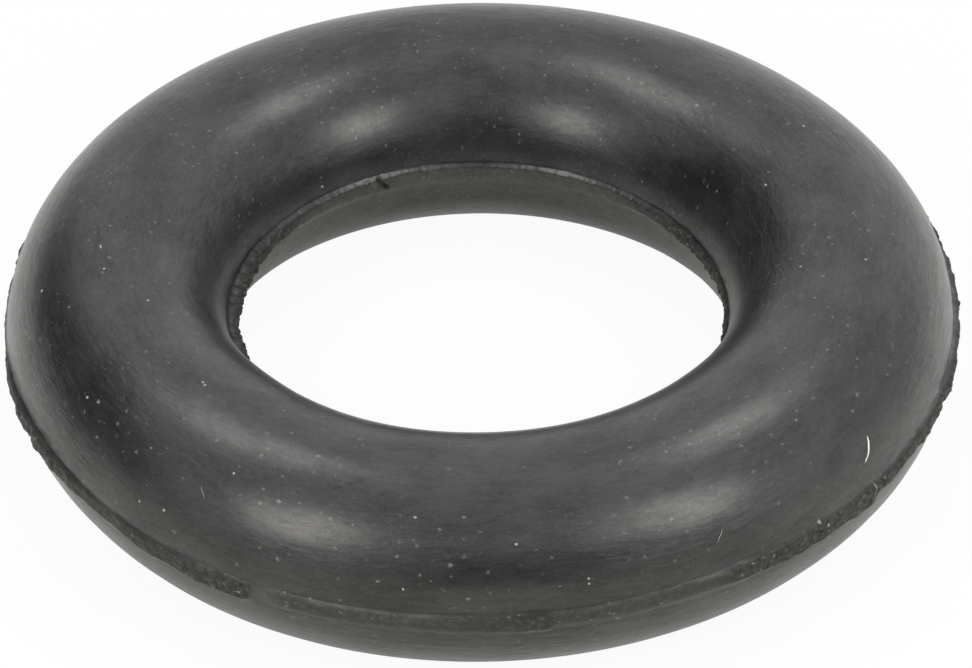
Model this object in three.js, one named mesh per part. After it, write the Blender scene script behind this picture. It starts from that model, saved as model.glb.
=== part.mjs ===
import * as THREE from 'three';

// Exhaust hanger: one thick rubber ring, moulded in a piece and lying flat.
// Lengths are in millimetres and +Z is up. The origin is the middle of the ring on the
// surface that it lies on, and -Y is its front.

// The moulded ring, without its flash
const RING_DIAMETER = 60;
const EYE_DIAMETER = 31.9;
const RING_HEIGHT = 13.9;
// The narrow flat that the soft ring presses on the surface under it
const REST_FLAT_WIDTH = 2;

// The torn flash along the parting line of the mould. Reach is how far it stands proud on
// average, and its upper edge is given above the middle of the section.
const OUTER_FLASH_REACH = 0.42;
const OUTER_FLASH_HEIGHT = 1.35;
const OUTER_FLASH_TOP = 0.5;
const INNER_FLASH_REACH = 0.53;
const INNER_FLASH_HEIGHT = 1.05;
const INNER_FLASH_TOP = 0.55;
// The height over which the flash rises out of the ring
const FLASH_SHOULDER = 0.25;

// The knife that trimmed the flash ran off the ring's centre, so the flash is widest outside
// on the side that it ran to, and widest inside on the other. The direction is in degrees
// from +X.
const TRIM_OFFSET = 0.27;
const TRIM_DIRECTION = 40;
// The torn edge wanders in and out by this much, in waves that each go round the ring so
// many times
const TEAR_DEPTH = 0.12;
const TEAR_WAVES = [7, 17, 29];

// How finely the curves are drawn: round the ring, and on the section from the crown and from
// the flat to the flash
const ROUND_STEPS = 120;
const UPPER_STEPS = 8;
const LOWER_STEPS = 7;

// The section is an ellipse with its foot cut flat
const ringRadius = (RING_DIAMETER + EYE_DIAMETER) / 4;
const halfWidth = (RING_DIAMETER - EYE_DIAMETER) / 4;
const flatAngle = Math.asin(REST_FLAT_WIDTH / 2 / halfWidth);
const halfHeight = RING_HEIGHT / (1 + Math.cos(flatAngle));
const middleHeight = RING_HEIGHT - halfHeight;
const CROWN_ANGLE = Math.PI / 2;

// side is 1 outside the ring and -1 in its eye
const outerFlash = {
  side: 1,
  reach: OUTER_FLASH_REACH,
  top: OUTER_FLASH_TOP,
  bottom: OUTER_FLASH_TOP - OUTER_FLASH_HEIGHT,
};
const innerFlash = {
  side: -1,
  reach: INNER_FLASH_REACH,
  top: INNER_FLASH_TOP,
  bottom: INNER_FLASH_TOP - INNER_FLASH_HEIGHT,
};

// The angle round the section's ellipse at a height above its middle
function sectionAngle(height, side) {
  const angle = Math.asin(height / halfHeight);
  return side > 0 ? angle : Math.PI - angle;
}

// Section points on the ring's own surface, from one section angle to another
function surfaceArc(from, to, steps) {
  const arc = new THREE.EllipseCurve(ringRadius, middleHeight, halfWidth, halfHeight, from, to);
  return arc.getPoints(steps).map((point) => ({ point, flash: null }));
}

// The two section points that become the flash's edges, still on the ring's surface
function flashEdges(flash) {
  const low = sectionAngle(flash.bottom, flash.side);
  const high = sectionAngle(flash.top, flash.side);
  const edges = flash.side > 0 ? surfaceArc(low, high, 1) : surfaceArc(high, low, 1);
  return edges.map(({ point }) => ({ point, flash }));
}

// The closed section, from the flat up the outside, over the crown and down the eye
function ringSection() {
  const outerRootLow = sectionAngle(outerFlash.bottom - FLASH_SHOULDER, outerFlash.side);
  const outerRootHigh = sectionAngle(outerFlash.top + FLASH_SHOULDER, outerFlash.side);
  const innerRootHigh = sectionAngle(innerFlash.top + FLASH_SHOULDER, innerFlash.side);
  const innerRootLow = sectionAngle(innerFlash.bottom - FLASH_SHOULDER, innerFlash.side);
  const section = [
    ...surfaceArc(flatAngle - Math.PI / 2, outerRootLow, LOWER_STEPS),
    ...flashEdges(outerFlash),
    ...surfaceArc(outerRootHigh, CROWN_ANGLE, UPPER_STEPS),
    ...surfaceArc(CROWN_ANGLE, innerRootHigh, UPPER_STEPS).slice(1),
    ...flashEdges(innerFlash),
    ...surfaceArc(innerRootLow, 3 * Math.PI / 2 - flatAngle, LOWER_STEPS),
  ];
  return [...section, section[0]];
}

// How far the flash stands proud at an angle round the ring
function flashReach(flash, angle) {
  const offset = TRIM_OFFSET * Math.cos(angle - THREE.MathUtils.degToRad(TRIM_DIRECTION));
  const tear = TEAR_WAVES.reduce((sum, wave) => sum + Math.sin(wave * angle + wave), 0);
  return flash.reach + flash.side * offset + TEAR_DEPTH * tear / TEAR_WAVES.length;
}

// The section turned round the ring, with the flash drawn out to its uneven torn edge
function ringGeometry() {
  const section = ringSection();
  const geometry = new THREE.LatheGeometry(section.map(({ point }) => point), ROUND_STEPS);
  geometry.rotateX(Math.PI / 2);
  const position = geometry.getAttribute('position');
  for (let index = 0; index < position.count; index += 1) {
    const { flash } = section[index % section.length];
    if (flash) {
      const angle = Math.atan2(position.getY(index), position.getX(index));
      const reach = flash.side * flashReach(flash, angle);
      position.setX(index, position.getX(index) + reach * Math.cos(angle));
      position.setY(index, position.getY(index) + reach * Math.sin(angle));
    }
  }
  geometry.computeVertexNormals();
  return geometry;
}

function blackRubber() {
  return new THREE.MeshStandardMaterial({ color: 0x1b1b1c, roughness: 0.45, metalness: 0 });
}

const hanger = new THREE.Group();
const rubberRing = new THREE.Mesh(ringGeometry(), blackRubber());
rubberRing.name = 'rubber_ring';
hanger.add(rubberRing);

export default hanger;
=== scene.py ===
import math

import bpy
import numpy as np
from mathutils import Matrix, Vector


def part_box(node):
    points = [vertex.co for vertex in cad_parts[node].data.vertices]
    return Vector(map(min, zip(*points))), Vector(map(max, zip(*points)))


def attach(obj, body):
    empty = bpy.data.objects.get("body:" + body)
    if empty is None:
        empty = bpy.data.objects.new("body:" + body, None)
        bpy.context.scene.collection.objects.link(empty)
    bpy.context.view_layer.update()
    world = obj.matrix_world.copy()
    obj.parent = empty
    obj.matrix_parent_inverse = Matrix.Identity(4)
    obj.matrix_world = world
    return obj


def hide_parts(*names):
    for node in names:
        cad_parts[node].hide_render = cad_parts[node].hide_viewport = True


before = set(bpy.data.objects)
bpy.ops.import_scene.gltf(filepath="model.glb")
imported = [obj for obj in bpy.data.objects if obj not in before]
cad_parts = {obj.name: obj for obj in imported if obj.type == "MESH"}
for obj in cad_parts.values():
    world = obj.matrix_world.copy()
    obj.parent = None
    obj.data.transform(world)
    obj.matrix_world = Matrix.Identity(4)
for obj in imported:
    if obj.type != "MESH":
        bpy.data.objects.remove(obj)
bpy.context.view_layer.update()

# Camera. It looks down on the lying ring from the front through a long lens, and it is rolled
# very slightly.
CAMERA_ELEVATION = math.radians(37.51)
CAMERA_DISTANCE = 0.4272
CAMERA_ROLL = math.radians(-0.56)
CAMERA_STEP_RIGHT = 0.00049
CAMERA_STEP_UP = -0.00103
CAMERA_LENS = 248.35
CAMERA_SENSOR = 36.0
ring_low, ring_high = (Vector(corner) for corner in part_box("rubber_ring"))
ring_height = ring_high.z - ring_low.z

camera_data = bpy.data.cameras.new("camera")
camera_data.lens = CAMERA_LENS
camera_data.sensor_width = CAMERA_SENSOR
camera_data.clip_start = 0.01
camera = bpy.data.objects.new("camera", camera_data)
bpy.context.collection.objects.link(camera)
level = Vector((1.0, 0.0, 0.0))
forward = Vector((0.0, math.cos(CAMERA_ELEVATION), -math.sin(CAMERA_ELEVATION)))
upright = level.cross(forward)
right = math.cos(CAMERA_ROLL) * level + math.sin(CAMERA_ROLL) * upright
up = right.cross(forward)
place = Vector((0.0, 0.0, ring_height / 2)) - CAMERA_DISTANCE * forward
place += CAMERA_STEP_RIGHT * right + CAMERA_STEP_UP * up
camera.matrix_world = Matrix.Translation(place) @ Matrix((right, up, -forward)).transposed().to_4x4()
bpy.context.scene.camera = camera
bpy.context.scene.view_settings.view_transform = "Standard"

# Rubber ring. The whole hanger is one solid ring of black rubber, pressed between two halves
# of a mould and left to cure. The flash squeezed out between the halves was cut and torn
# away, which leaves a rough lip round the outside and round the eye.
RING_DIAMETER = 0.060
EYE_DIAMETER = 0.0319
REST_FLAT_WIDTH = 0.002
MILLIMETRE = 0.001
STEPS_AROUND = 1300
# Angles round the section, in degrees from the outside over the crown, with steps between:
# finer where the lips stand
SECTION_STRETCHES = [(-12, 8, 20), (8, 173, 21), (173, 189, 16), (189, 261.8, 9), (261.8, 278.2, 1),
                     (278.2, 348, 9)]

# Places along each lip: degrees round the ring from the front towards the right, then in
# millimetres how far the lip stands proud and how high its upper and lower edges are above
# the section's middle, and last how badly it is torn and how strong the burr on its upper
# edge is, with the painted highlight along that edge, both from 0 to 1
OUTER_LIP = [
    (-180, 0.52, 0.50, -0.80, 0.6, 0.1),
    (-140, 0.38, 0.50, -0.80, 0.5, 0.1),
    (-112, 0.26, 0.50, -0.70, 0.7, 0.1),
    (-103, 0.40, 0.55, -0.50, 1.0, 0.1),
    (-98, 0.22, 0.50, -0.50, 0.5, 0.1),
    (-86, 0.12, 0.62, -0.50, 0.4, 0.1),
    (-76, 0.34, 0.72, -0.44, 0.5, 0.1),
    (-70, 0.40, 0.76, -0.44, 0.6, 0.1),
    (-66, 0.42, 0.74, -0.44, 0.6, 0.1),
    (-62, 0.34, 0.66, -0.48, 0.6, 0.1),
    (-50, 0.13, 0.45, -0.70, 0.5, 0.1),
    (-43, 0.20, 0.30, -1.00, 0.5, 0.1),
    (-29, 0.24, 0.28, -1.20, 0.7, 0.2),
    (-27, 0.03, 0.30, -0.80, 0.1, 0.3),
    (-23, 0.07, 0.34, -0.92, 0.3, 1.0),
    (-8, 0.08, 0.38, -0.90, 0.25, 0.9),
    (0, 0.09, 0.52, -0.96, 0.35, 0.1),
    (7.5, 0.10, 0.52, -1.04, 0.5, 0.1),
    (9, 0.08, 0.42, -0.74, 0.3, 0.5),
    (28, 0.09, 0.60, -0.66, 0.3, 1.0),
    (32, 0.14, 0.70, -0.70, 0.5, 1.0),
    (35, 0.20, 0.50, -0.72, 0.9, 0.3),
    (41.5, 0.22, 0.40, -0.86, 1.0, 0.1),
    (43.5, 0.24, 0.74, -0.86, 1.0, 0.1),
    (46, 0.22, 0.52, -0.88, 1.0, 0.1),
    (48, 0.22, 0.45, -0.95, 0.7, 0.1),
    (53.5, 0.24, 0.42, -1.00, 0.7, 0.1),
    (55, 0.17, 0.38, -0.62, 0.8, 0.1),
    (63, 0.22, 0.40, -0.50, 0.9, 0.1),
    (69, 0.24, 0.35, -0.60, 1.0, 0.1),
    (78, 0.36, 0.22, -0.66, 0.7, 0.1),
    (88, 0.42, 0.15, -0.70, 0.5, 0.1),
    (90.5, 0.38, 0.15, -0.70, 0.5, 0.1),
    (92.5, 0.58, 0.18, -0.72, 0.6, 0.1),
    (95.5, 0.46, 0.15, -0.70, 0.5, 0.1),
    (101, 0.60, 0.18, -0.70, 0.5, 0.1),
    (108, 0.80, 0.25, -0.74, 0.7, 0.1),
    (125, 0.52, 0.40, -0.80, 0.8, 0.1),
    (150, 0.62, 0.50, -0.80, 0.6, 0.1),
]
INNER_LIP = [
    (-180, 0.20, 0.55, -0.70, 0.15, 0.1),
    (-166, 0.22, 0.60, -0.70, 0.15, 0.3),
    (-156, 0.25, 0.58, -0.66, 0.2, 0.15),
    (-140, 0.27, 0.54, -0.62, 0.2, 0.1),
    (-126, 0.36, 0.50, -0.56, 0.5, 0.1),
    (-114, 0.54, 0.50, -0.58, 1.0, 0.1),
    (-98, 0.70, 0.50, -0.55, 1.0, 0.1),
    (-93, 0.76, 0.50, -0.50, 1.0, 0.1),
    (-84, 0.70, 0.50, -0.50, 0.8, 0.1),
    (-74, 0.86, 0.50, -0.50, 0.8, 0.1),
    (-50, 0.75, 0.50, -0.50, 0.5, 0.1),
    (0, 0.66, 0.50, -0.50, 0.4, 0.1),
    (50, 0.56, 0.50, -0.50, 0.5, 0.1),
    (72, 0.50, 0.50, -0.50, 0.6, 0.1),
    (80, 0.30, 0.50, -0.50, 0.8, 0.1),
    (100, 0.24, 0.48, -0.50, 0.9, 0.1),
    (120, 0.34, 0.45, -0.50, 1.0, 0.1),
    (133, 0.26, 0.42, -0.50, 0.4, 0.1),
    (150, 0.20, 0.48, -0.60, 0.18, 0.2),
    (164, 0.20, 0.54, -0.66, 0.15, 0.3),
]
# How a lip is drawn: the height over which its edges are rounded, what is added to that above
# and below where it isn't torn, and how far it stands out before it is coloured as a lip
LIP_EDGE = 0.12 * MILLIMETRE
LIP_SHOULDER = 0.26 * MILLIMETRE
LIP_FOOT = 1.2 * MILLIMETRE
LEAST_LIP = 0.06 * MILLIMETRE
# How deep the tears and crumbs go in a torn lip that stands at least FULL_TEAR proud, and the
# shares of that in one that hardly stands out and in one that isn't torn
TEAR_WAVE = 0.13 * MILLIMETRE
TEAR_CRUMB = 0.07 * MILLIMETRE
RAGGED_EDGE = 0.13 * MILLIMETRE
FULL_TEAR = 0.4 * MILLIMETRE
LOW_LIP_SHARE = 0.15
UNTORN_SHARE = 0.35
# How many random points round the ring those are drawn through: the tears in a lip's reach,
# long and short, those in its upper and lower edges, and the crumbs, with their rows up the lip
LONG_TEARS, SHORT_TEARS = 170, 410
TOP_TEARS = 220
LONG_BOTTOM_TEARS, SHORT_BOTTOM_TEARS = 110, 300
COARSE_CRUMBS, COARSE_CRUMB_ROWS = 520, 5
FINE_CRUMBS, FINE_CRUMB_ROWS = 1000, 8
OUTER_SEED = 11
INNER_SEED = 23
# A nick across the inner lip at the far side: its ends as degrees round the ring and height
# in millimetres, then its half width and its depth
NICK_ENDS = ((-155.8, 0.42), (-158.4, -0.36))
NICK_HALF_WIDTH = 0.085 * MILLIMETRE
NICK_DEPTH = 0.28 * MILLIMETRE
# Where the ring isn't true: degrees round it and round its section, how far the rubber swells
# there in millimetres, and how many degrees away each way it swells half as much
SWELLINGS = [(-50, 140, 0.21, 15, 42), (46, 138, 0.13, 16, 42), (100, 14, 0.27, 19, 40),
             (-58, -34, -0.15, 18, 30), (68, -24, 0.12, 14, 26)]
HALVING = 0.69

ring_radius = (RING_DIAMETER + EYE_DIAMETER) / 4
half_width = (RING_DIAMETER - EYE_DIAMETER) / 4
flat_angle = math.asin(REST_FLAT_WIDTH / 2 / half_width)
half_height = ring_height / (1 + math.cos(flat_angle))
section_middle = ring_height - half_height
section_degrees = np.concatenate([np.linspace(start, end, steps, endpoint=False)
                                  for start, end, steps in SECTION_STRETCHES])


def ease(value):
    """Runs smoothly from 0 to 1 as value does: three times its square less twice its cube."""
    value = np.clip(value, 0.0, 1.0)
    return value * value * (3.0 - 2.0 * value)


def wander(turn, across, cells, rows, seed):
    """Smooth random values from -1 to 1. A grid of random numbers closes round the ring, with
    cells points in a turn and rows steps across, and is eased from point to point."""
    grid = np.random.default_rng(seed).uniform(-1.0, 1.0, (cells, rows + 2))
    place_round = (turn % 1.0) * cells
    place_across = np.clip(across, 0.0, 1.0) * rows
    i = np.floor(place_round).astype(int)
    j = np.floor(place_across).astype(int)
    u = ease(place_round - i)
    v = ease(place_across - j)
    near = grid[i % cells, j] * (1 - u) + grid[(i + 1) % cells, j] * u
    far = grid[i % cells, j + 1] * (1 - u) + grid[(i + 1) % cells, j + 1] * u
    return near * (1 - v) + far * v


def along_the_lip(places, degrees):
    """The values of a lip at angles round the ring, eased from each listed place to the next."""
    places = np.array(places)
    angles = np.append(places[:, 0], places[0, 0] + 360.0)
    values = np.vstack([places[:, 1:], places[:1, 1:]])
    before = np.clip(np.searchsorted(angles, degrees, side="right") - 1, 0, len(places) - 1)
    share = ease((degrees - angles[before]) / (angles[before + 1] - angles[before]))
    return [value[before] * (1 - share) + value[before + 1] * share for value in values.T]


def lip_relief(places, degrees, height, seed):
    """How far the lip stands proud at points given by degrees round the ring and height above
    the section's middle, with how far up the lip each point is, from 0 at its lower edge to 1
    at its upper one, how torn it is, how strong its burr and the painted highlight along it
    are, and where there is any lip at all.
    The lip is a step with rounded edges. Where it isn't torn, it is rounder above and slopes
    off below. Where it is torn, it comes and goes in waves and its edges are ragged."""
    turn = degrees / 360.0
    level_line = np.zeros_like(turn)
    reach, top, bottom, torn, burr_and_highlight = along_the_lip(places, degrees)
    reach, top, bottom = reach * MILLIMETRE, top * MILLIMETRE, bottom * MILLIMETRE
    proud = np.clip(reach / FULL_TEAR, LOW_LIP_SHARE, 1.0) * (UNTORN_SHARE + (1.0 - UNTORN_SHARE) * torn)
    reach = reach + TEAR_WAVE * proud * (wander(turn, level_line, LONG_TEARS, 1, seed)
                                         + 0.6 * wander(turn, level_line, SHORT_TEARS, 1, seed + 1))
    top = top + 0.4 * RAGGED_EDGE * torn * wander(turn, level_line, TOP_TEARS, 1, seed + 3)
    bottom = bottom + RAGGED_EDGE * torn * (
        0.8 * wander(turn, level_line, LONG_BOTTOM_TEARS, 1, seed + 4)
        + 0.7 * wander(turn, level_line, SHORT_BOTTOM_TEARS, 1, seed + 5))
    shoulder = LIP_EDGE + LIP_SHOULDER * (1.0 - torn)
    foot = LIP_EDGE + LIP_FOOT * (1.0 - torn) ** 2
    shape = ease((top - height) / shoulder + 0.5) * ease((height - bottom) / foot + 0.5)
    rise = (height - bottom) / (top - bottom)
    crumbs = (wander(turn, rise, COARSE_CRUMBS, COARSE_CRUMB_ROWS, seed + 7)
              + 0.8 * wander(turn, rise, FINE_CRUMBS, FINE_CRUMB_ROWS, seed + 8))
    relief = shape * (np.maximum(reach, 0.0) + TEAR_CRUMB * proud * crumbs)
    return relief, rise, torn, burr_and_highlight, shape * np.clip(reach / LEAST_LIP, 0.0, 1.0)


def nick_depth(degrees, height):
    """The depth of the nick across the inner lip: a smooth groove along the line between its
    ends, which fades out beyond them."""
    eye_radius = EYE_DIAMETER / 2
    ends = np.array([(math.radians(angle) * eye_radius, level * MILLIMETRE) for angle, level in NICK_ENDS])
    along = ends[1] - ends[0]
    length = np.hypot(*along)
    across = np.radians(degrees) * eye_radius - ends[0, 0], height - ends[0, 1]
    forward = (across[0] * along[0] + across[1] * along[1]) / length
    aside = (across[0] * along[1] - across[1] * along[0]) / length
    beyond = np.maximum(np.maximum(-forward, forward - length), 0.0)
    return NICK_DEPTH * np.exp(-(aside ** 2 + beyond ** 2) / NICK_HALF_WIDTH ** 2)


def swelling(degrees, section):
    """How far the rubber stands off its true form, along the section's radius: a smooth bell
    round each of the listed places. It is e to the power of minus HALVING times the square of
    the distance from the place, counted in half widths."""
    total = np.zeros_like(section)
    for around, over, amount, half_around, half_over in SWELLINGS:
        aside = ((degrees - around + 180.0) % 360.0 - 180.0) / half_around
        above = ((np.degrees(section) - over + 180.0) % 360.0 - 180.0) / half_over
        total += amount * MILLIMETRE * np.exp(-HALVING * (aside ** 2 + above ** 2))
    return total


def grid_mesh(name, points):
    """A closed skin over points, an array of rows round the ring by columns round the section:
    each point is joined to its next in both directions, which both come back to the start."""
    rows, columns = points.shape[:2]
    index = np.arange(rows * columns).reshape(rows, columns)
    after = np.roll(index, -1, axis=0)
    quads = np.stack([index, after, np.roll(after, -1, axis=1), np.roll(index, -1, axis=1)], axis=-1)
    mesh = bpy.data.meshes.new(name)
    mesh.vertices.add(rows * columns)
    mesh.vertices.foreach_set("co", points.reshape(-1).astype(np.float32))
    mesh.loops.add(quads.size)
    mesh.loops.foreach_set("vertex_index", quads.reshape(-1).astype(np.int32))
    mesh.polygons.add(rows * columns)
    mesh.polygons.foreach_set("loop_start", np.arange(0, quads.size, 4, dtype=np.int32))
    mesh.polygons.foreach_set("use_smooth", np.ones(rows * columns, dtype=bool))
    mesh.update(calc_edges=True)
    mesh.validate()
    return mesh


def ring_surface():
    """The moulded surface and its lips: an ellipse in section, cut flat at its foot, carried
    round a circle, and pushed away from or towards the ring's axis by the lips. With each
    point comes how far up a lip it is, how torn that lip is, how strong its burr and the
    painted highlight along it, where a lip stands, and where the nick cuts in."""
    degrees = np.linspace(-180.0, 180.0, STEPS_AROUND, endpoint=False)
    section, degrees = np.meshgrid(np.radians(section_degrees), degrees)
    swollen = swelling(degrees, section)
    height = (half_height + swollen) * np.sin(section)
    reach = ring_radius + (half_width + swollen) * np.cos(section)
    outside = lip_relief(OUTER_LIP, degrees, height, OUTER_SEED)
    inside = lip_relief(INNER_LIP, degrees, height, INNER_SEED)
    outward = np.cos(section) > 0
    nick = np.where(outward, 0.0, nick_depth(degrees, height))
    relief, rise, torn, burr_and_highlight, lip = (np.where(outward, out, eye) for out, eye in zip(outside, inside))
    reach += np.where(outward, relief, nick - relief)
    around = np.radians(degrees)
    points = np.stack([reach * np.sin(around), -reach * np.cos(around),
                       np.maximum(section_middle + height, 0.0)], axis=-1)
    return points, {"rise": rise, "torn": torn, "burr_and_highlight": burr_and_highlight, "lip": lip, "nick": nick / NICK_DEPTH}


def unrolled(rows):
    """Where each face corner lies on the ring's skin rolled out flat, in metres: the arc round
    the ring at its middle radius, and the arc round the section from the outside, both ways
    to the foot."""
    start, end = section_degrees, np.append(section_degrees[1:], section_degrees[0] + 360.0)
    beyond_the_foot = np.where(start > 270.0, 360.0, 0.0)
    low, high = (np.radians(angle - beyond_the_foot) * half_width for angle in (start, end))
    round_it = np.linspace(-math.pi, math.pi, rows + 1) * ring_radius
    corners = [(round_it[:-1], low), (round_it[1:], low), (round_it[1:], high), (round_it[:-1], high)]
    return np.stack([np.stack(np.meshgrid(u, v, indexing="ij"), axis=-1) for u, v in corners], axis=2)


points, marks = ring_surface()
ring_mesh = grid_mesh("ring", points)
for name, values in marks.items():
    attribute = ring_mesh.attributes.new(name, "FLOAT", "POINT")
    attribute.data.foreach_set("value", values.reshape(-1).astype(np.float32))
skin = ring_mesh.uv_layers.new(name="skin")
skin.data.foreach_set("uv", unrolled(STEPS_AROUND).reshape(-1).astype(np.float32))
ring = bpy.data.objects.new("ring", ring_mesh)
bpy.context.collection.objects.link(ring)


def add_node(tree, kind, inputs=(), **settings):
    """A node of that kind, with its settings, and each named input linked or set."""
    node = tree.nodes.new(kind)
    for name, value in settings.items():
        setattr(node, name, value)
    for key, value in dict(inputs).items():
        if isinstance(value, bpy.types.NodeSocket):
            tree.links.new(value, node.inputs[key])
        else:
            node.inputs[key].default_value = value
    return node


def calculate(tree, operation, *values):
    """The result of one Math node."""
    return add_node(tree, "ShaderNodeMath", enumerate(values), operation=operation).outputs[0]


def combine(tree, operation, first, *others):
    """Values taken together, one after the other, by an operation such as ADD or MAXIMUM."""
    for other in others:
        first = calculate(tree, operation, first, other)
    return first


def remap(tree, value, low, high, to_low, to_high):
    """value taken from one range to another, and kept inside it."""
    ranges = {"Value": value, "From Min": low, "From Max": high, "To Min": to_low, "To Max": to_high}
    return add_node(tree, "ShaderNodeMapRange", ranges).outputs["Result"]


def new_group(name, inputs, outputs):
    """An empty shader node group with named sockets, and its input and output nodes."""
    tree = bpy.data.node_groups.new(name, "ShaderNodeTree")
    for direction, sockets in (("INPUT", inputs), ("OUTPUT", outputs)):
        for socket_name, kind in sockets:
            tree.interface.new_socket(socket_name, in_out=direction, socket_type=kind)
    return tree, tree.nodes.new("NodeGroupInput"), tree.nodes.new("NodeGroupOutput")


def on_the_skin():
    """A place for a pattern that lies on the skin: a drum as high as the arc round the section,
    turned round with the ring. It closes on itself. Girth is the drum's girth as a share of
    the ring's: the less it is, the further the pattern is drawn out round the ring."""
    tree, given, result = new_group("on_the_skin", [("Girth", "NodeSocketFloat")],
                                    [("Vector", "NodeSocketVector")])
    place = add_node(tree, "ShaderNodeUVMap", uv_map="skin").outputs["UV"]
    axes = add_node(tree, "ShaderNodeSeparateXYZ", {"Vector": place}).outputs
    turn = calculate(tree, "DIVIDE", axes["X"], ring_radius)
    girth = calculate(tree, "MULTIPLY", given.outputs["Girth"], ring_radius)
    vector = add_node(tree, "ShaderNodeCombineXYZ", {
        "X": calculate(tree, "MULTIPLY", calculate(tree, "SINE", turn), girth),
        "Y": calculate(tree, "MULTIPLY", calculate(tree, "COSINE", turn), girth),
        "Z": axes["Y"]}).outputs[0]
    tree.links.new(vector, result.inputs["Vector"])
    return tree


# How far a speck's outline is bent, and how fine the noise is, per metre, that bends it and
# that crowds the specks together
SPECK_BEND = 0.22 * MILLIMETRE
SPECK_BEND_SCALE = 9000.0
CROWDING_SCALE = 160.0


def specks():
    """A mask of small uneven specks on the skin: Spacing metres apart, Size metres across at
    most, in the given Share of the places that could hold one. They lie thicker in some
    places than in others, and some are faint."""
    tree, given, result = new_group(
        "specks",
        [("Spacing", "NodeSocketFloat"), ("Size", "NodeSocketFloat"), ("Share", "NodeSocketFloat")],
        [("Mask", "NodeSocketFloat")])
    place = add_node(tree, "ShaderNodeUVMap", uv_map="skin").outputs["UV"]
    bend = add_node(tree, "ShaderNodeTexNoise", {"Vector": place, "Scale": SPECK_BEND_SCALE, "Detail": 1.0},
                    noise_dimensions="2D").outputs["Color"]
    bend = add_node(tree, "ShaderNodeVectorMath", {0: bend, 1: (0.5, 0.5, 0.5)},
                    operation="SUBTRACT").outputs["Vector"]
    bend = add_node(tree, "ShaderNodeVectorMath", {0: bend, "Scale": SPECK_BEND},
                    operation="SCALE").outputs["Vector"]
    bent = add_node(tree, "ShaderNodeVectorMath", {0: place, 1: bend}, operation="ADD").outputs["Vector"]
    thicker = add_node(tree, "ShaderNodeTexNoise", {"Vector": place, "Scale": CROWDING_SCALE, "Detail": 2.0},
                       noise_dimensions="2D").outputs["Fac"]
    scale = calculate(tree, "DIVIDE", 1.0, given.outputs["Spacing"])
    cells = add_node(tree, "ShaderNodeTexVoronoi", {"Vector": bent, "Scale": scale},
                     voronoi_dimensions="2D").outputs
    lot = add_node(tree, "ShaderNodeSeparateColor", {"Color": cells["Color"]}).outputs
    size = calculate(tree, "MULTIPLY", calculate(tree, "DIVIDE", given.outputs["Size"], 2.0),
                     remap(tree, lot["Green"], 0.0, 1.0, 0.35, 1.0))
    radius = calculate(tree, "DIVIDE", size, given.outputs["Spacing"])
    inside = add_node(tree, "ShaderNodeMapRange",
                      {"Value": cells["Distance"], "From Min": radius,
                       "From Max": calculate(tree, "MULTIPLY", radius, 0.1), "To Min": 0.0,
                       "To Max": 1.0}, interpolation_type="SMOOTHSTEP").outputs["Result"]
    share = calculate(tree, "MULTIPLY", given.outputs["Share"], remap(tree, thicker, 0.38, 0.66, 0.2, 2.0))
    chosen = calculate(tree, "LESS_THAN", lot["Red"], share)
    strength = calculate(tree, "POWER", lot["Blue"], 2.0)
    shown = calculate(tree, "MULTIPLY", chosen, remap(tree, strength, 0.0, 1.0, 0.12, 1.0))
    tree.links.new(calculate(tree, "MULTIPLY", inside, shown), result.inputs["Mask"])
    return tree


def group_node(tree, group, **inputs):
    """A group placed in a material, with its inputs set."""
    node = tree.nodes.new("ShaderNodeGroup")
    node.node_tree = group
    for name, value in inputs.items():
        node.inputs[name].default_value = value
    return node.outputs


def mixed(tree, share, first, second):
    """Two colours mixed by share."""
    node = tree.nodes.new("ShaderNodeMix")
    node.data_type = "RGBA"
    for socket, value in ((node.inputs[0], share), (node.inputs[6], first), (node.inputs[7], second)):
        if isinstance(value, bpy.types.NodeSocket):
            tree.links.new(value, socket)
        else:
            socket.default_value = value
    return node.outputs[2]


BLACK_RUBBER = (0.0035, 0.0035, 0.0038, 1.0)
BLOOM = (0.0178, 0.0178, 0.0176, 1.0)
TORN_RUBBER = (0.0310, 0.0300, 0.0270, 1.0)
# The hollow colour is painted shade, laid in the hollows between a torn lip's crumbs and in the nick.
HOLLOW_SHADE = (0.0080, 0.0070, 0.0060, 1.0)
TORN_FLECK = (0.0950, 0.0910, 0.0820, 1.0)
# The burr colour is a painted highlight: a pale line along a lip's upper edge, over the raised burr.
BURR_HIGHLIGHT = (0.0860, 0.0860, 0.0850, 1.0)
CUT_RUBBER = (0.0360, 0.0370, 0.0330, 1.0)
DUST = (0.30, 0.30, 0.285, 1.0)
# The pit colour is painted shade, laid in the pits; only the listed pit marks are also dented by the bump.
PIT_SHADE = (0.003, 0.003, 0.003, 1.0)
# Single marks on the skin: degrees round the ring and round the section, then how long and
# how wide each is in millimetres
DUST_MARKS = [(-87.0, 83.6, 0.55, 0.16), (-82.6, 48.5, 0.30, 0.26), (-81.3, 84.2, 0.24, 0.22),
              (-71.6, 100.8, 0.24, 0.20), (-59.7, 45.0, 0.28, 0.24), (-47.6, 90.9, 0.30, 0.16),
              (-46.9, 90.1, 0.16, 0.30), (-44.6, 19.2, 0.20, 0.18), (-40.7, 22.0, 0.26, 0.24),
              (-33.3, 54.2, 0.20, 0.20), (-9.0, 16.5, 0.20, 0.20), (-8.2, 53.0, 0.26, 0.16),
              (4.4, 40.2, 0.26, 0.20), (12.7, 19.2, 0.22, 0.16), (12.7, 16.5, 0.22, 0.16),
              (43.6, 6.0, 0.30, 0.26), (44.9, 1.5, 0.22, 0.30), (53.3, 19.2, 0.26, 0.22),
              (53.8, 2.4, 0.16, 0.44), (68.0, 141.9, 0.16, 0.42), (80.0, 110.2, 0.24, 0.20),
              (82.4, 77.0, 0.22, 0.20), (107.8, 121.0, 0.26, 0.20), (117.5, 83.8, 0.24, 0.20),
              (-141.2, 169.0, 0.24, 0.20)]
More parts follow.
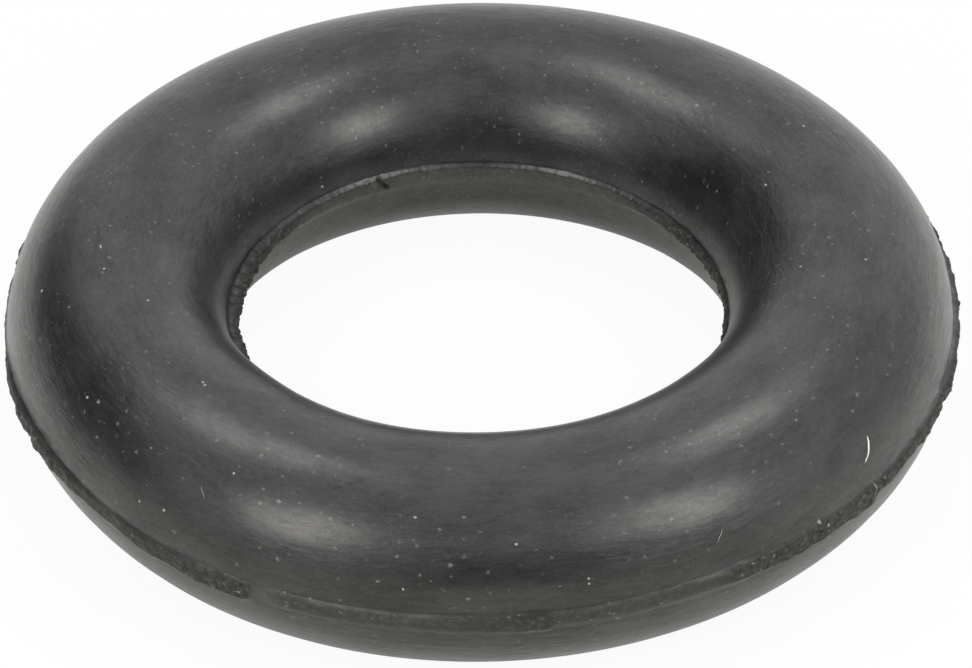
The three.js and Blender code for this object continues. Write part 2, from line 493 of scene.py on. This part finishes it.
PIT_MARKS = [(28.3, 55.5, 0.34, 0.30), (24.6, 55.1, 0.22, 0.20), (58.1, 8.8, 0.36, 0.40),
             (77.9, 29.4, 0.30, 0.30), (-39.5, 107.2, 0.20, 0.34), (-19.0, 62.9, 0.50, 0.20),
             (-17.7, 66.0, 0.50, 0.20), (-16.4, 68.8, 0.50, 0.18), (-38.2, 4.6, 0.30, 0.26)]
# Specks that lie where chance puts them: how far apart the places for them are and how wide
# one is at most, in metres, and the share of the places that hold one
FINE_DUST = {"Spacing": 0.85 * MILLIMETRE, "Size": 0.34 * MILLIMETRE, "Share": 0.45}
LARGE_DUST = {"Spacing": 2.0 * MILLIMETRE, "Size": 0.38 * MILLIMETRE, "Share": 0.32}
LIP_DUST = {"Spacing": 0.6 * MILLIMETRE, "Size": 0.3 * MILLIMETRE, "Share": 0.5}
SMALL_PITS = {"Spacing": 3.6 * MILLIMETRE, "Size": 0.34 * MILLIMETRE, "Share": 0.2}
FINE_DUST_THICKNESS = 0.45
LARGE_DUST_THICKNESS = 0.5
# The patterns of noise in the rubber itself: how fine each is, per metre, how many finer layers
# it has, how strong those are, and for the wrinkles how bent. Then the range that most of the
# values lie in.
SCUFF_NOISE = (4600.0, 3.0, 0.6)
MOTTLE_NOISE = (420.0, 5.0, 0.62)
WRINKLE_NOISE = (1900.0, 4.0, 0.6, 0.3)
PATCH_NOISE = (150.0, 2.0, 0.5)
GRAIN_NOISE = (5200.0, 2.0, 0.6)
CRUMB_NOISE = (2900.0, 4.0, 0.72)
NOISE_LOW, NOISE_HIGH = 0.38, 0.62
# The girth of the drum that a pattern is read on, for those drawn out far round the ring and
# those drawn out less
LONG_DRAWN = 0.3
SHORT_DRAWN = 0.5
# How deep the patterns go, and how high the burr and how deep a pit is as a share of the crumbs
WRINKLE_DEPTH = 0.24 * MILLIMETRE
GRAIN_DEPTH = 0.03 * MILLIMETRE
GRAIN_STRENGTH = 0.3
CRUMB_DEPTH = 0.16 * MILLIMETRE
BURR_HEIGHT = 0.25
PIT_DEPTH = 0.5
# How far the crumbs move the edges of a torn lip's colour, as a share of the lip's height
EDGE_WANDER = 0.12
# The rubber's roughness where its bloom is thin and where it is thick, and what a torn lip and
# dust add to that
SMOOTHEST, ROUGHEST = 0.38, 0.50
TORN_ROUGHNESS = 0.35
DUST_ROUGHNESS = 0.4
# How strongly the rubber and the gloss over it bend light, and how rough that gloss is
RUBBER_IOR = 1.35
COAT_IOR = 1.5
COAT_ROUGHNESS = 0.31

skin_group = on_the_skin()
speck_group = specks()


def spots(tree, marks):
    """A mask of soft ovals on the skin, one for each mark."""
    place = add_node(tree, "ShaderNodeUVMap", uv_map="skin").outputs["UV"]
    mask = 0.0
    for around, over, length, width in marks:
        u, v = math.radians(around) * ring_radius, math.radians(over) * half_width
        true_radius = ring_radius + half_width * math.cos(math.radians(over))
        scale_u = 2.0 * true_radius / ring_radius / (length * MILLIMETRE)
        scale_v = 2.0 / (width * MILLIMETRE)
        oval = add_node(tree, "ShaderNodeVectorMath",
                        {0: place, 1: (scale_u, scale_v, 1.0), 2: (-u * scale_u, -v * scale_v, 0.0)},
                        operation="MULTIPLY_ADD").outputs["Vector"]
        apart = add_node(tree, "ShaderNodeVectorMath", {0: oval}, operation="LENGTH").outputs["Value"]
        mask = calculate(tree, "MAXIMUM", mask, remap(tree, apart, 1.0, 0.5, 0.0, 1.0))
    return mask


def noise(tree, vector, scale, detail, roughness, distortion=0.0):
    """The value of a noise texture."""
    return add_node(tree, "ShaderNodeTexNoise",
                    {"Vector": vector, "Scale": scale, "Detail": detail, "Roughness": roughness,
                     "Distortion": distortion}).outputs["Fac"]


def spread(tree, pattern, low, high):
    """A pattern taken from the range that most of its values lie in to low and high."""
    return remap(tree, pattern, NOISE_LOW, NOISE_HIGH, low, high)


def lip_masks(tree, crumbs):
    """Where a lip is torn, where it was cut clean, and where its upper edge carries a burr, with a
    painted highlight along it. The crumbs make the edges of the torn part wander."""
    rise, torn, burr_and_highlight, lip = (add_node(tree, "ShaderNodeAttribute", attribute_name=name).outputs["Fac"]
                             for name in ("rise", "torn", "burr_and_highlight", "lip"))
    wandering = remap(tree, crumbs, 0.2, 0.8, -EDGE_WANDER, EDGE_WANDER)
    rise = calculate(tree, "ADD", rise, calculate(tree, "MULTIPLY", torn, wandering))
    above_the_foot = remap(tree, rise, -0.04, 0.06, 0.0, 1.0)
    below_the_edge = remap(tree, rise, 0.96, 1.06, 1.0, 0.0)
    band = combine(tree, "MULTIPLY", above_the_foot, below_the_edge, lip)
    torn_lip = calculate(tree, "MULTIPLY", band, remap(tree, torn, 0.0, 0.8, 0.02, 1.0))
    cut_lip = combine(tree, "MULTIPLY", band, remap(tree, torn, 0.1, 0.35, 1.0, 0.0),
                      remap(tree, crumbs, 0.35, 0.6, 0.2, 1.0))
    towards_the_edge = calculate(tree, "POWER", remap(tree, rise, 0.55, 0.94, 0.0, 1.0), 2.0)
    burr_and_highlight_edge = combine(tree, "MULTIPLY", burr_and_highlight, towards_the_edge,
                        remap(tree, rise, 1.08, 0.98, 0.0, 1.0), lip)
    return torn_lip, cut_lip, burr_and_highlight_edge


def dust_mask(tree, torn_lip):
    """Where dust lies: fine and large specks all over, more of them where a lip is torn, and
    the single marks."""
    fine, large, on_lips = (group_node(tree, speck_group, **kind)["Mask"]
                            for kind in (FINE_DUST, LARGE_DUST, LIP_DUST))
    return combine(tree, "MAXIMUM", calculate(tree, "MULTIPLY", fine, FINE_DUST_THICKNESS),
                   calculate(tree, "MULTIPLY", large, LARGE_DUST_THICKNESS),
                   calculate(tree, "MULTIPLY", on_lips, torn_lip), spots(tree, DUST_MARKS))


def bump(tree, height, depth, strength=1.0, **below):
    """The normal of a surface raised by height times depth, which is in metres. A bump that
    lies below it is given as Normal."""
    return add_node(tree, "ShaderNodeBump", {"Height": height, "Strength": strength, "Distance": depth,
                                             **below}).outputs["Normal"]


def rubber():
    """Satin black rubber. Fine scuffs run round the ring, a faint bloom mottles its gloss, dust
    and a few pits are spread over it, with painted shade in the pits, and the torn lips are dull
    and crumbly, with painted shade in their hollows and in the nick, and a thin burr along their
    upper edges where they were cut clean, which is painted pale as a highlight."""
    material = bpy.data.materials.new("black_rubber")
    material.use_nodes = True
    tree = material.node_tree
    tree.nodes.clear()
    place = add_node(tree, "ShaderNodeTexCoord").outputs["Object"]
    drawn_long = group_node(tree, skin_group, Girth=LONG_DRAWN)["Vector"]
    drawn_short = group_node(tree, skin_group, Girth=SHORT_DRAWN)["Vector"]
    scuffs = noise(tree, drawn_long, *SCUFF_NOISE)
    mottle = noise(tree, drawn_short, *MOTTLE_NOISE)
    wrinkles = noise(tree, drawn_long, *WRINKLE_NOISE)
    patches = noise(tree, drawn_short, *PATCH_NOISE)
    grain = noise(tree, place, *GRAIN_NOISE)
    crumbs = noise(tree, place, *CRUMB_NOISE)

    torn_lip, cut_lip, burr_and_highlight_edge = lip_masks(tree, crumbs)
    # Where the painted highlight along the burr shows, broken up by the wrinkles.
    burr_and_highlight = calculate(tree, "MULTIPLY", burr_and_highlight_edge, remap(tree, wrinkles, 0.38, 0.60, 0.25, 1.0))
    nick = add_node(tree, "ShaderNodeAttribute", attribute_name="nick").outputs["Fac"]
    between_crumbs = calculate(tree, "MULTIPLY", torn_lip, remap(tree, crumbs, 0.5, 0.38, 0.0, 1.0))
    shaded_hollows = calculate(tree, "MAXIMUM", between_crumbs, nick)
    dust = dust_mask(tree, torn_lip)
    placed_pits = spots(tree, PIT_MARKS)
    pit_shade = calculate(tree, "MAXIMUM", group_node(tree, speck_group, **SMALL_PITS)["Mask"], placed_pits)

    bloom = combine(tree, "ADD", spread(tree, mottle, 0.0, 0.55), spread(tree, scuffs, 0.0, 0.1),
                    spread(tree, grain, 0.0, 0.25))
    colour = mixed(tree, bloom, BLACK_RUBBER, BLOOM)
    colour = mixed(tree, cut_lip, colour, CUT_RUBBER)
    torn_colour = mixed(tree, remap(tree, crumbs, 0.54, 0.68, 0.0, 1.0), TORN_RUBBER, TORN_FLECK)
    colour = mixed(tree, torn_lip, colour, torn_colour)
    # Painted highlight along the upper edges of the lips.
    colour = mixed(tree, burr_and_highlight, colour, BURR_HIGHLIGHT)
    # Painted shade in the hollows of the torn lips and in the nick.
    colour = mixed(tree, shaded_hollows, colour, HOLLOW_SHADE)
    # Painted shade in the pits.
    colour = mixed(tree, pit_shade, colour, PIT_SHADE)
    colour = mixed(tree, dust, colour, DUST)

    roughness = combine(tree, "ADD", remap(tree, mottle, 0.35, 0.65, SMOOTHEST, ROUGHEST),
                        calculate(tree, "MULTIPLY", torn_lip, TORN_ROUGHNESS),
                        calculate(tree, "MULTIPLY", dust, DUST_ROUGHNESS))
    shine = combine(tree, "ADD", spread(tree, scuffs, 0.14, 0.32), spread(tree, mottle, 0.28, 0.56),
                    spread(tree, grain, 0.11, 0.23))
    coat = calculate(tree, "MULTIPLY", remap(tree, torn_lip, 0.0, 0.6, 1.0, 0.25), shine)

    wrinkle_height = calculate(tree, "MULTIPLY", calculate(tree, "SUBTRACT", wrinkles, 0.5),
                               remap(tree, patches, 0.42, 0.58, 0.3, 1.0))
    crumb_height = calculate(tree, "ADD", calculate(tree, "MULTIPLY", crumbs, torn_lip),
                             calculate(tree, "MULTIPLY", burr_and_highlight_edge, BURR_HEIGHT))
    crumb_height = calculate(tree, "SUBTRACT", crumb_height,
                             calculate(tree, "MULTIPLY", placed_pits, PIT_DEPTH))
    normal = bump(tree, wrinkle_height, WRINKLE_DEPTH)
    normal = bump(tree, grain, GRAIN_DEPTH, GRAIN_STRENGTH, Normal=normal)
    normal = bump(tree, crumb_height, CRUMB_DEPTH, Normal=normal)
    shader = add_node(tree, "ShaderNodeBsdfPrincipled", {
        "Base Color": colour, "Roughness": roughness, "IOR": RUBBER_IOR, "Normal": normal,
        "Coat Weight": coat, "Coat Roughness": COAT_ROUGHNESS, "Coat IOR": COAT_IOR})
    add_node(tree, "ShaderNodeOutputMaterial", {"Surface": shader.outputs["BSDF"]})
    return material


ring_mesh.materials.append(rubber())
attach(ring, "root")
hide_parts("rubber_ring")

# Lint. A few pale fibres that fell on the ring: each is a thin thread that lies on the rubber
# and holds by itself.

# Each fibre's thickness in millimetres, how light it is, and its places in degrees round the
# ring and round the section
FIBRES = {
    "long_fibre": (0.11, 0.8, [(54.8, 29.4), (54.7, 27.2), (54.5, 25.3), (53.9, 21.3), (52.9, 18.4)]),
    "faint_fibre": (0.05, 0.14, [(33.8, 103.8), (34.6, 107.6), (36.3, 111.3), (39.3, 116.7), (41.4, 119.0)]),
    "front_fibre": (0.07, 0.22, [(30.0, 27.4), (29.8, 25.2), (29.3, 22.6), (29.1, 20.8)]),
    "left_fibre": (0.10, 0.14, [(-36.7, 42.6), (-36.4, 40.4), (-35.9, 38.6), (-35.6, 36.9)]),
}
FIBRE_SIDES = 8
FIBRE_RUNGS = 24
# How far a fibre's middle is off the rubber, as a share of its half thickness, and how the
# square of its thickness at the tips compares with that at its middle
FIBRE_LIFT = 0.8
FIBRE_TIP = 0.02
LINT_BLUE = 0.94
LINT_ROUGHNESS = 0.8


def smooth_path(places, count):
    """Points on a curve through the places, each stretch a cubic that leaves and meets a place
    along the line between that place's neighbours."""
    places = np.array(places, dtype=float)
    ends = np.vstack([2 * places[0] - places[1], places, 2 * places[-1] - places[-2]])
    share = np.linspace(0.0, len(places) - 1.0, count)
    index = np.minimum(share.astype(int), len(places) - 2)
    t = (share - index)[:, None]
    a, b, c, d = (ends[index + step] for step in range(4))
    return 0.5 * (2 * b + (c - a) * t + (2 * a - 5 * b + 4 * c - d) * t ** 2
                  + (3 * b - a - 3 * c + d) * t ** 3)


def fibre(name, thickness, places):
    """A thread of round section that lies on the ring's skin and tapers to both ends."""
    path = smooth_path(places, FIBRE_RUNGS)
    around, over = np.radians(path[:, 0]), np.radians(path[:, 1])
    outward = np.stack([np.sin(around) * np.cos(over), -np.cos(around) * np.cos(over), np.sin(over)], axis=-1)
    reach = ring_radius + half_width * np.cos(over)
    radius = thickness * MILLIMETRE / 2
    centre = np.stack([reach * np.sin(around), -reach * np.cos(around),
                       section_middle + half_height * np.sin(over)], axis=-1) + FIBRE_LIFT * radius * outward
    forward = np.gradient(centre, axis=0)
    forward /= np.linalg.norm(forward, axis=1, keepdims=True)
    aside = np.cross(forward, outward)
    taper = np.sqrt(np.clip(np.sin(np.linspace(0.0, math.pi, FIBRE_RUNGS)), FIBRE_TIP, 1.0))
    turn = np.linspace(0.0, 2 * math.pi, FIBRE_SIDES, endpoint=False)
    rim = np.cos(turn)[:, None] * aside[:, None] + np.sin(turn)[:, None] * outward[:, None]
    points = centre[:, None] + rim * (radius * taper)[:, None, None]
    faces = [(i * FIBRE_SIDES + j, (i + 1) * FIBRE_SIDES + j, (i + 1) * FIBRE_SIDES + (j + 1) % FIBRE_SIDES,
              i * FIBRE_SIDES + (j + 1) % FIBRE_SIDES)
             for i in range(FIBRE_RUNGS - 1) for j in range(FIBRE_SIDES)]
    last = (FIBRE_RUNGS - 1) * FIBRE_SIDES
    faces += [tuple(range(FIBRE_SIDES)), tuple(last + j for j in reversed(range(FIBRE_SIDES)))]
    mesh = bpy.data.meshes.new(name)
    mesh.from_pydata(points.reshape(-1, 3).tolist(), [], faces)
    mesh.polygons.foreach_set("use_smooth", np.ones(len(faces), dtype=bool))
    thread = bpy.data.objects.new(name, mesh)
    bpy.context.collection.objects.link(thread)
    return thread


def lint(name, lightness):
    """The dull, slightly yellow material of a fibre."""
    material = bpy.data.materials.new(name)
    material.use_nodes = True
    shader = material.node_tree.nodes["Principled BSDF"]
    shader.inputs["Base Color"].default_value = (lightness, lightness, LINT_BLUE * lightness, 1.0)
    shader.inputs["Roughness"].default_value = LINT_ROUGHNESS
    return material


for name, (thickness, lightness, places) in FIBRES.items():
    thread = fibre(name, thickness, places)
    thread.data.materials.append(lint(name, lightness))
    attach(thread, "root")

# Floor. A wide sheet of matt white card, which goes on past the picture. The camera sees most
# of it as plain white, and the ring's shadow faintly on it. The ring's gloss sees it less
# white, with painted light and shade in that white: least at the foot of the eye, which lies
# in shade, brighter in the eye's middle, and less in front than behind, as painted shade in
# front of the ring and painted light behind it.
FLOOR_HALF = 2.0
FLOOR_WHITE = (0.8, 0.785, 0.74, 1.0)
SHADOW_SHARE = 0.06
# How white the ring's gloss sees the card: beyond the ring, at the foot of the eye and in its
# middle, then what that is multiplied by in front of the ring and behind it, and how far out
# each holds. These paint shade and light into the card as the gloss sees it: shade at the foot
# of the eye and in front, light in the eye's middle and behind.
WHITE_IN_GLOSS = 0.45
WHITE_IN_SHADE = 0.12
WHITE_IN_EYE = 0.6
FRONT_SHARE, FRONT_PLACE = 0.6, -0.045
BACK_SHARE, BACK_PLACE = 1.35, 0.01
floor_mesh = bpy.data.meshes.new("floor")
floor_mesh.from_pydata([(-FLOOR_HALF, -FLOOR_HALF, 0), (FLOOR_HALF, -FLOOR_HALF, 0),
                        (FLOOR_HALF, FLOOR_HALF, 0), (-FLOOR_HALF, FLOOR_HALF, 0)], [], [(0, 1, 2, 3)])
floor = bpy.data.objects.new("floor", floor_mesh)
bpy.context.collection.objects.link(floor)
floor_material = bpy.data.materials.new("white_card")
floor_material.use_nodes = True
tree = floor_material.node_tree
tree.nodes.clear()
card = add_node(tree, "ShaderNodeBsdfDiffuse", {"Color": FLOOR_WHITE})
white = add_node(tree, "ShaderNodeEmission", {"Color": (1, 1, 1, 1), "Strength": 1.0})
seen = add_node(tree, "ShaderNodeLightPath").outputs
direct = calculate(tree, "MAXIMUM", seen["Is Camera Ray"], seen["Is Transmission Ray"])
direct = calculate(tree, "MULTIPLY", direct, 1.0 - SHADOW_SHARE)
place = add_node(tree, "ShaderNodeTexCoord").outputs["Object"]
from_middle = add_node(tree, "ShaderNodeVectorMath", {0: place}, operation="LENGTH").outputs["Value"]
outside = remap(tree, from_middle, EYE_DIAMETER / 2, RING_DIAMETER / 2, WHITE_IN_SHADE, WHITE_IN_GLOSS)
inside = remap(tree, from_middle, EYE_DIAMETER / 4, EYE_DIAMETER / 2, WHITE_IN_EYE, 0.0)
depth = add_node(tree, "ShaderNodeSeparateXYZ", {"Vector": place}).outputs["Y"]
# Painted shade and light in the card's white, as the ring's gloss sees it.
white_in_gloss = combine(tree, "MULTIPLY", calculate(tree, "MAXIMUM", outside, inside),
                         remap(tree, depth, FRONT_PLACE, BACK_PLACE, FRONT_SHARE, BACK_SHARE),
                         seen["Is Glossy Ray"])
share = calculate(tree, "MAXIMUM", direct, white_in_gloss)
surface = add_node(tree, "ShaderNodeMixShader", {0: share, 1: card.outputs[0], 2: white.outputs[0]})
add_node(tree, "ShaderNodeOutputMaterial", {"Surface": surface.outputs[0]})
floor_mesh.materials.append(floor_material)

# Studio light. A white tent surrounds the ring, with two soft lamps in front, two above and
# behind, and two dark flags: one on the left and one behind the camera.
TENT_FOR_SHADE = 0.7
TENT_IN_GLOSS = 0.87
LAMP_DISTANCE = 0.22
LAMP_COLOUR = (1.0, 0.975, 0.94)
FLAG_DISTANCE = 0.8
# How much of a flag's span is quite dark
FLAG_SOLID = 0.35
world = bpy.data.worlds.new("tent")
bpy.context.scene.world = world
world.use_nodes = True
tree = world.node_tree
tree.nodes.clear()
seen = add_node(tree, "ShaderNodeLightPath").outputs
mirrored = calculate(tree, "MAXIMUM", seen["Is Glossy Ray"], seen["Is Transmission Ray"])
bright = calculate(tree, "MAXIMUM", seen["Is Camera Ray"], mirrored)
in_gloss = calculate(tree, "MULTIPLY", mirrored, TENT_IN_GLOSS)
strength = calculate(tree, "MAXIMUM", calculate(tree, "MAXIMUM", seen["Is Camera Ray"], in_gloss),
                     calculate(tree, "MULTIPLY", calculate(tree, "SUBTRACT", 1.0, bright), TENT_FOR_SHADE))
tent = add_node(tree, "ShaderNodeBackground", {"Color": (1, 1, 1, 1), "Strength": strength})
add_node(tree, "ShaderNodeOutputWorld", {"Surface": tent.outputs[0]})


def facing_the_ring(azimuth, elevation, distance):
    """A place at that azimuth from the back towards the right, elevation and distance from the
    ring, turned so that its own -Z points at the ring."""
    azimuth, elevation = math.radians(azimuth), math.radians(elevation)
    direction = Vector((math.cos(elevation) * math.sin(azimuth),
                        math.cos(elevation) * math.cos(azimuth), math.sin(elevation)))
    turn = direction.to_track_quat("Z", "Y").to_matrix().to_4x4()
    return Matrix.Translation(direction * distance) @ turn


def softbox(name, azimuth, elevation, wide, high, radiance):
    """An oval lamp that spans wide by high degrees as the ring sees it, at that brightness."""
    light = bpy.data.lights.new(name, "AREA")
    light.shape = "ELLIPSE"
    light.color = LAMP_COLOUR
    light.size = 2 * LAMP_DISTANCE * math.tan(math.radians(wide) / 2)
    light.size_y = 2 * LAMP_DISTANCE * math.tan(math.radians(high) / 2)
    light.energy = radiance * math.pi * (math.pi / 4 * light.size * light.size_y)
    lamp = bpy.data.objects.new(name, light)
    bpy.context.collection.objects.link(lamp)
    lamp.matrix_world = facing_the_ring(azimuth, elevation, LAMP_DISTANCE)


def flag(name, azimuth, elevation, wide, high, level):
    """A dark card that only reflections see. It spans wide by high degrees as the ring sees it,
    and from its middle outwards it thins out into the tent behind it."""
    half_wide = FLAG_DISTANCE * math.tan(math.radians(wide) / 2)
    half_high = FLAG_DISTANCE * math.tan(math.radians(high) / 2)
    card_mesh = bpy.data.meshes.new(name)
    card_mesh.from_pydata([(-half_wide, -half_high, 0), (half_wide, -half_high, 0),
                           (half_wide, half_high, 0), (-half_wide, half_high, 0)], [], [(0, 1, 2, 3)])
    card = bpy.data.objects.new(name, card_mesh)
    bpy.context.collection.objects.link(card)
    card.matrix_world = facing_the_ring(azimuth, elevation, FLAG_DISTANCE)
    card.visible_camera = card.visible_diffuse = card.visible_transmission = card.visible_shadow = False
    material = bpy.data.materials.new(name)
    material.use_nodes = True
    tree = material.node_tree
    tree.nodes.clear()
    place = add_node(tree, "ShaderNodeTexCoord").outputs["Object"]
    span = add_node(tree, "ShaderNodeMapping", {"Vector": place,
                                                "Scale": (1 / half_wide, 1 / half_high, 0.0)}).outputs[0]
    apart = add_node(tree, "ShaderNodeVectorMath", {0: span}, operation="LENGTH").outputs["Value"]
    ranges = {"Value": apart, "From Min": 1.0, "From Max": FLAG_SOLID, "To Min": 0.0, "To Max": 1.0}
    thickness = add_node(tree, "ShaderNodeMapRange", ranges,
                         interpolation_type="SMOOTHSTEP").outputs["Result"]
    clear = add_node(tree, "ShaderNodeBsdfTransparent")
    grey = add_node(tree, "ShaderNodeEmission", {"Color": (level, level, level, 1.0), "Strength": 1.0})
    cloth = add_node(tree, "ShaderNodeMixShader", {0: thickness, 1: clear.outputs[0], 2: grey.outputs[0]})
    add_node(tree, "ShaderNodeOutputMaterial", {"Surface": cloth.outputs[0]})
    card_mesh.materials.append(material)


softbox("front_left_lamp", azimuth=-139, elevation=34, wide=17, high=29, radiance=8.0)
softbox("front_right_lamp", azimuth=130, elevation=36, wide=18, high=29, radiance=7.5)
softbox("back_left_lamp", azimuth=-53, elevation=65, wide=23, high=14, radiance=6.4)
softbox("back_right_lamp", azimuth=54, elevation=62, wide=23, high=14, radiance=6.3)
flag("left_flag", azimuth=-67, elevation=10, wide=107, high=84, level=0.05)
flag("front_flag", azimuth=180, elevation=-1, wide=84, high=88, level=0.02)
